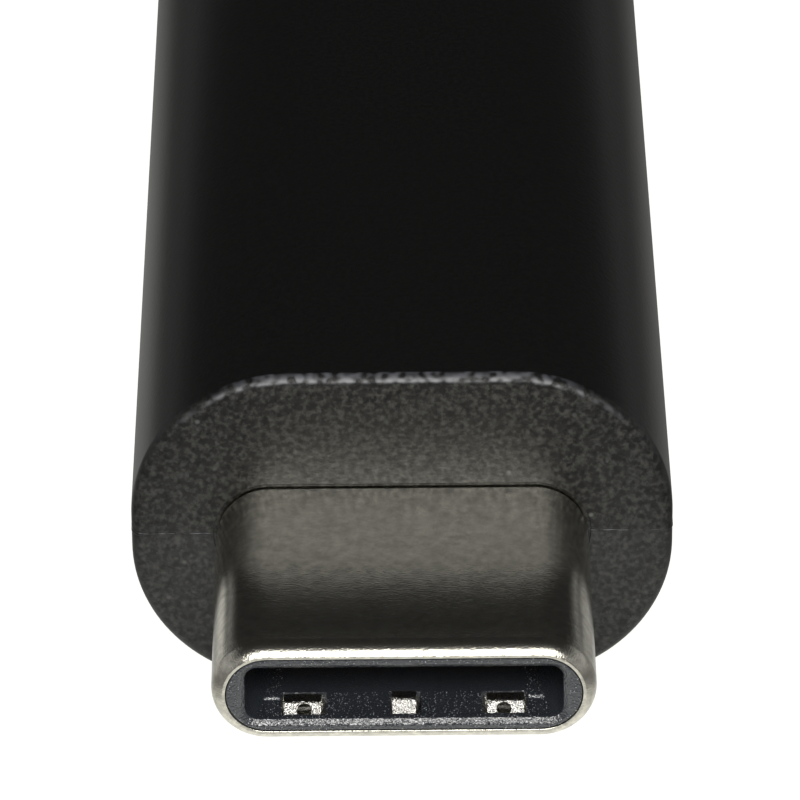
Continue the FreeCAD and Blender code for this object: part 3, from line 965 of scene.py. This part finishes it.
@dataclass(frozen=True)
class MouldLine:
    """A faint raised line that the two halves of a mould leave on both sides of a piece.

    Attributes:
        stand: How far the line stands out.
        waver: Length of its uneven stretches.
        girth: Its least and greatest size, as shares of the even one.
    """

    name: str
    slot: Slot
    material: Material
    route: PartingRoute | SleeveRoute
    stand: float = 0.010
    half_width: float = 0.028
    spacing: float = 0.06
    waver: float = 0.5
    waver_range: Range = (0.3, 0.7)
    girth: Range = (0.45, 1.55)
    faces_round: int = 8

    def recipe(self) -> Recipe:
        """Build the tree that runs a flat, slightly uneven bead along a path."""
        recipe = Recipe(self.name, {"Stand": "Float", "Half width": "Float", "Spacing": "Float"})
        path = recipe.give("GeometryNodeMeshToCurve", {"Mesh": recipe.input("Geometry")})
        even = recipe.give("GeometryNodeResampleCurve",
                           {"Curve": path, "Length": recipe.input("Spacing")}, mode="LENGTH")
        upright = recipe.give("GeometryNodeSetCurveNormal", {"Curve": even}, mode="Z_UP")
        place = recipe.give("GeometryNodeInputPosition")
        waves = {"Vector": place, "Scale": 1.0 / (self.waver * MM), "Detail": 1.0}
        waver = recipe.add("ShaderNodeTexNoise", waves).outputs["Fac"]
        size = recipe.give("ShaderNodeCombineXYZ",
                           {0: recipe.input("Stand"), 1: recipe.input("Half width"), 2: 1.0})
        disc = recipe.give("GeometryNodeCurvePrimitiveCircle",
                           {"Resolution": self.faces_round, "Radius": 1.0})
        recipe.finish(recipe.give("GeometryNodeCurveToMesh", {
            "Curve": upright,
            "Profile Curve": recipe.give("GeometryNodeTransform", {"Geometry": disc, "Scale": size}),
            "Scale": recipe.remap(waver, self.waver_range, self.girth),
            "Fill Caps": True,
        }))
        return recipe

    def build(self) -> None:
        """Build the line on both sides."""
        work = bmesh.new()
        for side in (-1, 1):
            points = [work.verts.new(point) for point in self.route.side(side)]
            for first, second in zip(points, points[1:]):
                work.edges.new((first, second))
        mesh = self.recipe().cook(to_mesh(f"{self.name}_path", work), {
            "Stand": self.stand * MM,
            "Half width": self.half_width * MM,
            "Spacing": self.spacing * MM,
            "Finish": self.material,
        })
        place_mesh(self.name, mesh)


@dataclass(frozen=True)
class MouthDust:
    """Fine dust on the floor, lead-in and face of the sleeve in the mouth.

    Attributes:
        reach: Depth to which the dust lies.
        upward: Least Z of the normal on the floor and lead-in.
        forward: Least share of the normal towards the tip on the face.
        density: Flakes on a square millimetre.
        least: Smallest flake, as shares of the size.
        most: Largest flake, as shares of the size.
    """

    frame: PlugFrame
    sleeve: Object
    material: Material
    reach: float = 1.7
    upward: float = 0.6
    forward: float = 0.9
    density: float = 105.0
    size: float = 0.0085
    least: Triple = (0.5, 0.5, 0.25)
    most: Triple = (1.9, 1.3, 0.7)
    seed: int = 7
    turn_seed: int = 3

    def patch(self) -> Mesh:
        """Copy the upward and forward faces of the sleeve that the mouth shows."""
        work = merged_copy(self.sleeve)
        bmesh.ops.triangulate(work, faces=work.faces)
        hidden = []
        for face in work.faces:
            middle = face.calc_center_median() / MM
            upward = face.normal.z > self.upward and middle.z - self.frame.axis < 0.0
            forward = face.normal.y < -self.forward
            if middle.y - self.frame.tip > self.reach or not (upward or forward):
                hidden.append(face)
        bmesh.ops.delete(work, geom=hidden, context="FACES")
        return to_mesh("dust_patch", work)

    def recipe(self) -> Recipe:
        """Build the tree that scatters flakes over a patch."""
        recipe = Recipe("mouth_dust", {"Density": "Float", "Size": "Float", "Seed": "Int"})
        points = recipe.give("GeometryNodeDistributePointsOnFaces", {
            "Mesh": recipe.input("Geometry"),
            "Density": recipe.input("Density"),
            "Seed": recipe.input("Seed"),
        })
        flake = recipe.give("GeometryNodeMeshIcoSphere", {"Radius": recipe.input("Size"), "Subdivisions": 1})
        scale = recipe.give("FunctionNodeRandomValue",
                            {0: self.least, 1: self.most, "Seed": recipe.input("Seed")},
                            data_type="FLOAT_VECTOR")
        turn = recipe.give("FunctionNodeRandomValue",
                           {0: (0.0,) * 3, 1: (math.tau,) * 3, "Seed": self.turn_seed},
                           data_type="FLOAT_VECTOR")
        recipe.finish(recipe.give("GeometryNodeInstanceOnPoints", {
            "Points": points, "Instance": flake, "Rotation": turn, "Scale": scale,
        }))
        return recipe

    def build(self) -> None:
        """Scatter the dust."""
        mesh = self.recipe().cook(self.patch(), {
            "Density": self.density / MM ** 2,
            "Size": self.size * MM,
            "Seed": self.seed,
            "Finish": self.material,
        })
        place_mesh("mouth_dust", mesh)


@dataclass(frozen=True)
class Studio:
    """Floor, world, lamps and camera.

    Attributes:
        pool_glow: Painted light glowing from the floor under the tip, which only the plug's own gloss shows.
        pool_reach: Distances from the tip between which the pool fades.
        wash_glow: The same painted glow behind the housing's face, on the left and on the right.
        wash_x, wash_y, wash_reach: Places and distances from the tip between which it changes.
        side_x, side_z: X and Z of a direction between which the pale sides of the world fade.
        key_fade: Share of the lamp over which its light fades towards an edge.
        aim_depth: Depth behind the tip at which the lamp points.
    """

    frame: PlugFrame
    floor_size: float = 900.0
    floor_drop: float = 0.01
    floor_tone: float = 0.28
    floor_light_tone: Triple = (1.0, 1.0, 0.96)
    pool_glow: float = 0.74
    pool_reach: Range = (5.0, 15.0)
    wash_glow: Range = (0.39, 0.12)
    wash_x: Range = (-20.0, 20.0)
    wash_y: Range = (-14.0, -4.0)
    wash_reach: Range = (32.0, 68.0)
    sky_tone: Triple = (1.0, 1.0, 0.99)
    sky_glow: Range = (0.20, 0.02)
    sky_z: Range = (0.0, 0.20)
    side_glow: float = 0.34
    side_x: Range = (0.58, 0.78)
    side_z: Range = (0.35, 0.70)
    key_tone: Triple = (1.0, 0.985, 0.96)
    key_strength: float = 9.0
    key_distance: float = 260.0
    key_elevation: float = 41.0
    key_width: float = 440.0
    key_height: float = 205.0
    key_fade: float = 0.42
    key_falloff: float = 2.2
    aim_depth: float = 3.0
    camera_from_tip: Triple = (-0.32, -122.92, 79.17)
    camera_elevation: float = 30.32
    camera_yaw: float = 0.13
    camera_roll: float = -0.43
    camera_near: float = 5.0
    focal_pixels: float = 6852.0
    picture_pixels: float = 800.0
    sensor: float = 36.0

    def build(self) -> None:
        """Build the whole studio."""
        self.build_floor()
        self.build_world()
        self.build_lamps()
        self.build_camera()

    def floor_light(self, sheet: NodeSheet) -> NodeSocket:
        """Give the painted glow on the floor, a pool under the tip and a wash behind the housing's face."""
        place = sheet.add("ShaderNodeNewGeometry").outputs["Position"]
        tip = self.frame.at(0.0, 0.0, -self.frame.axis)
        measure = sheet.add("ShaderNodeVectorMath", {0: place, 1: tip}, operation="DISTANCE")
        reach = measure.outputs["Value"]
        x, y, _ = sheet.axes(place)
        pool = sheet.remap(reach, metres(self.pool_reach), (self.pool_glow, 0.0))
        wash = sheet.remap(x, metres(self.wash_x), self.wash_glow)
        behind = sheet.remap(y, metres(self.wash_y))
        near = sheet.remap(reach, metres(self.wash_reach), FALLING)
        wash = sheet.combine("MULTIPLY", wash, sheet.combine("MULTIPLY", behind, near))
        return sheet.combine("MAXIMUM", pool, wash)

    def build_floor(self) -> None:
        """Lay the white floor, which glows white to the camera and, in the plug's gloss, glows with painted
        light most strongly in front of the plug and to its left.
        """
        sheet = NodeSheet("studio_floor")
        path = sheet.add("ShaderNodeLightPath").outputs
        # Painted glow that only glossy rays see, so that it shows only as a painted reflection in the plug.
        mirrored = sheet.combine("MULTIPLY", path["Is Glossy Ray"], self.floor_light(sheet))
        glow = sheet.combine("ADD", path["Is Camera Ray"], mirrored)
        plain = sheet.give("ShaderNodeBsdfDiffuse", {"Color": (*(self.floor_tone,) * 3, 1.0)})
        lit = sheet.give("ShaderNodeEmission", {"Color": (*self.floor_light_tone, 1.0), "Strength": glow})
        work = bmesh.new()
        bmesh.ops.create_grid(work, x_segments=1, y_segments=1, size=self.floor_size * MM / 2)
        mesh = to_mesh("studio_floor", work)
        mesh.materials.append(sheet.end(sheet.give("ShaderNodeAddShader", {0: plain, 1: lit})))
        floor = bpy.data.objects.new("studio_floor", mesh)
        floor.location.z = -self.floor_drop * MM
        bpy.context.scene.collection.objects.link(floor)

    def build_world(self) -> None:
        """Set a world that is white to the camera, pale at the horizon and both sides, and dark above."""
        world = bpy.data.worlds.new("studio_world")
        bpy.context.scene.world = world
        world.use_nodes = True
        sky = Wiring(world.node_tree)
        sky.tree.nodes.clear()
        across, _, up = sky.axes(sky.add("ShaderNodeTexCoord").outputs["Generated"])
        horizon = sky.remap(up, self.sky_z, self.sky_glow, "SMOOTHSTEP")
        sides = sky.remap(sky.combine("ABSOLUTE", across), self.side_x, (0.0, self.side_glow))
        low = sky.remap(up, self.side_z, FALLING)
        glow = sky.combine("MAXIMUM", horizon, sky.combine("MULTIPLY", sides, low))
        seen = sky.add("ShaderNodeLightPath").outputs["Is Camera Ray"]
        strength = sky.give("ShaderNodeMix", {0: seen, 2: glow, 3: 1.0})
        light = sky.give("ShaderNodeBackground", {"Color": (*self.sky_tone, 1.0), "Strength": strength})
        sky.add("ShaderNodeOutputWorld", {"Surface": light})

    def build_lamps(self) -> None:
        """Hang the large lamp in front of and above the plug. Its light fades towards its edges."""
        lamp = bpy.data.lights.new("key_lamp", "AREA")
        lamp.shape = "RECTANGLE"
        lamp.size = self.key_width * MM
        lamp.size_y = self.key_height * MM
        lamp.energy = self.key_strength * math.pi * lamp.size * lamp.size_y
        lamp.color = self.key_tone
        lamp.use_nodes = True
        beam = Wiring(lamp.node_tree)
        fades = []
        for place in beam.axes(beam.add("ShaderNodeNewGeometry").outputs["Parametric"])[:2]:
            reach = beam.combine("ABSOLUTE", beam.combine("SUBTRACT", place, 0.5))
            fades.append(beam.remap(reach, (0.5 - self.key_fade, 0.5), FALLING, "SMOOTHSTEP"))
        strength = beam.combine("POWER", beam.combine("MULTIPLY", *fades), self.key_falloff)
        beam.tree.links.new(strength, beam.tree.nodes["Emission"].inputs["Strength"])
        lift = math.radians(self.key_elevation)
        away = Vector((0.0, -math.cos(lift), math.sin(lift)))
        key = bpy.data.objects.new("key_lamp", lamp)
        key.location = self.frame.at(0.0, self.aim_depth, 0.0) + away * (self.key_distance * MM)
        key.rotation_euler = away.to_track_quat("Z", "Y").to_euler()
        bpy.context.scene.collection.objects.link(key)

    def build_camera(self) -> None:
        """Set the camera at the photograph's angle."""
        lift = math.radians(self.camera_elevation)
        turn = math.radians(self.camera_yaw)
        roll = math.radians(self.camera_roll)
        ahead = Vector((math.sin(turn) * math.cos(lift), math.cos(turn) * math.cos(lift), -math.sin(lift)))
        right = Vector((math.cos(turn), -math.sin(turn), 0.0))
        above = right.cross(ahead)
        rolled_right = right * math.cos(roll) + above * math.sin(roll)
        rolled_above = above * math.cos(roll) - right * math.sin(roll)
        data = bpy.data.cameras.new("photo_camera")
        data.sensor_width = self.sensor
        data.lens = self.focal_pixels / self.picture_pixels * self.sensor
        data.clip_start = self.camera_near * MM
        camera = bpy.data.objects.new("photo_camera", data)
        turned = Matrix((rolled_right, rolled_above, -ahead)).transposed()
        camera.matrix_world = Matrix.Translation(self.frame.at(*self.camera_from_tip)) @ turned.to_4x4()
        bpy.context.scene.collection.objects.link(camera)
        bpy.context.scene.camera = camera


def dress_nodes(nodes: dict[str, Object], materials: dict[str, Material], subparts: list[dict]) -> None:
    """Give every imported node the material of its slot.

    Args:
        nodes: Packed objects by node name.
        materials: Materials by slot name.
        subparts: The record's list of nodes and slots.
    """
    for subpart in subparts:
        mesh = nodes[subpart["node"]].data
        mesh.materials.clear()
        mesh.materials.append(materials[subpart["material_slot"]])
        LOG.info("%s wears %s", subpart["node"], subpart["material_slot"])


def build_materials(frame: PlugFrame) -> dict[Slot, Material]:
    """Build one material for each slot."""
    finishes = {
        Slot.HOUSING: GrainPlastic(frame.axis),
        Slot.INNER: MouldedPlastic("inner_mould_skin", (0.72, 0.71, 0.66), (0.62, 0.61, 0.56), 0.45),
        Slot.SHELL: SatinMetal("shell_nickel", (0.91, 0.885, 0.775), (0.62, 0.60, 0.53), 0.125,
                               grain_size=0.050, grain_depth=0.0035, peel_depth=0.0016, cloud_size=0.20,
                               lip_place=frame.tip + 0.15, lip_reach=0.65, lip_roughness=0.10,
                               lip_grain=1.2),
        Slot.INSULATOR: MouldedPlastic("insulator_skin", (0.043, 0.049, 0.060), (0.028, 0.033, 0.041),
                                       0.16, skin_size=0.050, skin_depth=0.0340, skin_detail=1.0,
                                       shine=1.0, index=1.65),
        Slot.SPRING: SatinMetal("spring_sheet", (0.74, 0.73, 0.70), (0.60, 0.59, 0.56), 0.17,
                                grain_size=0.045, grain_depth=0.0320),
        Slot.LATCH: SatinMetal("latch_sheet", (0.66, 0.66, 0.66), (0.56, 0.56, 0.56), 0.28),
        Slot.CONTACT: SatinMetal("contact_gold", (0.88, 0.66, 0.32), (0.78, 0.56, 0.24), 0.20),
        Slot.CARD: MouldedPlastic("card_mask", (0.02, 0.11, 0.05), (0.015, 0.08, 0.035), 0.32),
        Slot.CHIP: MouldedPlastic("chip_package", (0.022, 0.022, 0.024), (0.016, 0.016, 0.018), 0.50),
        Slot.PASSIVE: MouldedPlastic("ceramic_body", (0.36, 0.25, 0.15), (0.26, 0.18, 0.11), 0.40),
        Slot.CAN: SatinMetal("can_tin", (0.66, 0.65, 0.62), (0.56, 0.55, 0.52), 0.30),
        Slot.RING: SatinMetal("ring_plate", (0.62, 0.62, 0.60), (0.52, 0.52, 0.50), 0.26),
    }
    return {slot: finish.build() for slot, finish in finishes.items()}


def build_dust_finish() -> Material:
    """Build the pale finish of the dust."""
    return MouldedPlastic("dust_flakes", (0.75, 0.76, 0.78), (0.45, 0.46, 0.48), 0.45,
                          skin_size=0.01, skin_depth=0.0008).build()


def main() -> None:
    """Build every piece of the plug and its studio."""
    logging.basicConfig(level=logging.INFO, format="%(name)s: %(message)s")
    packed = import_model()
    frame = PlugFrame.read()
    nodes = packed["nodes"]
    bpy.context.scene.view_settings.view_transform = "Standard"
    materials = build_materials(frame)
    by_name = {slot.value: material for slot, material in materials.items()}
    dress_nodes(nodes, by_name, packed["record"]["subparts"])
    housing = Housing(frame)
    housing.build(materials[Slot.HOUSING])
    MouldLine("parting_line", Slot.HOUSING, materials[Slot.HOUSING], PartingRoute(housing)).build()
    MouldLine("sleeve_line", Slot.INSULATOR, materials[Slot.INSULATOR], SleeveRoute(frame)).build()
    Shell(frame).build(materials[Slot.SHELL])
    MouthDust(frame, nodes["front_insulator"], build_dust_finish()).build()
    MouthPieces(nodes, materials).build()
    ContactRows(nodes, materials[Slot.CONTACT]).build()
    Studio(frame).build()


if __name__ == "__main__":
    main()
